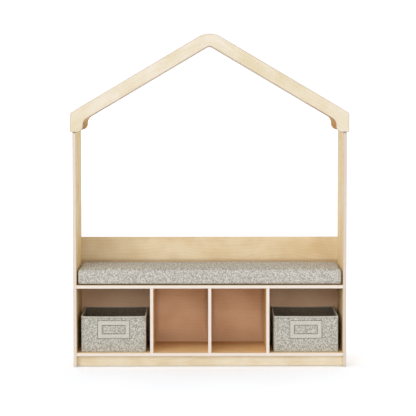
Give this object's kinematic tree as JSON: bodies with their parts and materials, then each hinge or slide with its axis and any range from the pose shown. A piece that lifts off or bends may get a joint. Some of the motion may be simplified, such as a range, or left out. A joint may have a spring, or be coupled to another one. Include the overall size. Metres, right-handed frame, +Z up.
{
  "type": "house-frame storage bench",
  "caption": "Child's plywood storage bench with a house-shaped frame, a cushioned seat over open cubbies, a low backrest and sliding fabric bins.",
  "frame": {"origin": "on the floor, under the middle of the bench", "axes": "+X to the bench's right as seen from the front, +Y to the rear, +Z up"},
  "size_m": [1.262, 0.4, 1.5119],
  "materials": {
    "birch_plywood": "clear matt lacquer",
    "back_panel_wood": "clear matt lacquer",
    "cam_metal": "zinc plated",
    "fitting_steel": "zinc plated",
    "dowel_beech": "bare beech",
    "glide_nylon": "matt nylon",
    "cushion_fabric": "heather linen weave",
    "foam": "open-cell foam",
    "zip_tape": "woven tape and nylon coil",
    "zip_metal": "satin",
    "bin_fabric": "heather linen weave",
    "bin_lining_cloth": "plain non-woven",
    "stiffener_board": "grey board",
    "bin_binding": "folded binding tape",
    "label_frame_fabric": "smooth stitched fabric"
  },
  "bodies": {
    "carcass": {"left_side_panel": "birch_plywood", "right_side_panel": "birch_plywood", "seat_board": "birch_plywood", "bottom_board": "birch_plywood", "left_divider": "birch_plywood", "centre_divider": "birch_plywood", "right_divider": "birch_plywood", "cubby_back_panel": "back_panel_wood", "backrest_board": "birch_plywood", "front_toe_kick": "birch_plywood", "rear_plinth": "birch_plywood", "centre_support": "birch_plywood", "front_gable": "birch_plywood", "rear_gable": "birch_plywood", "ridge_rail": "birch_plywood", "cam_locks": "cam_metal", "cam_bolts": "fitting_steel", "confirmat_screws": "fitting_steel", "wooden_dowels": "dowel_beech", "floor_glides": "glide_nylon"},
    "cushion": {"cushion_cover": "cushion_fabric", "cushion_foam": "foam", "cushion_zip": "zip_tape"},
    "zip_slider": {"zip_slider": "zip_metal"},
    "left_bin": {"left_bin_cover": "bin_fabric", "left_bin_lining": "bin_lining_cloth", "left_bin_stiffeners": "stiffener_board", "left_bin_base_board": "stiffener_board", "left_bin_rim_binding": "bin_binding", "left_bin_label_frame": "label_frame_fabric"},
    "right_bin": {"right_bin_cover": "bin_fabric", "right_bin_lining": "bin_lining_cloth", "right_bin_stiffeners": "stiffener_board", "right_bin_base_board": "stiffener_board", "right_bin_rim_binding": "bin_binding", "right_bin_label_frame": "label_frame_fabric"}
  },
  "joints": [
    {"name": "left_bin_slide", "type": "slide", "parent": "carcass", "child": "left_bin", "axis": [0, -1, 0], "range_m": [0, 0.34]},
    {"name": "right_bin_slide", "type": "slide", "parent": "carcass", "child": "right_bin", "axis": [0, -1, 0], "range_m": [0, 0.34]},
    {"name": "cushion_lift", "type": "slide", "parent": "carcass", "child": "cushion", "axis": [0, 0, 1], "range_m": [0, 0.4]},
    {"name": "zip_slide", "type": "slide", "parent": "cushion", "child": "zip_slider", "axis": [-1, 0, 0], "range_m": [0, 0.87]}
  ]
}
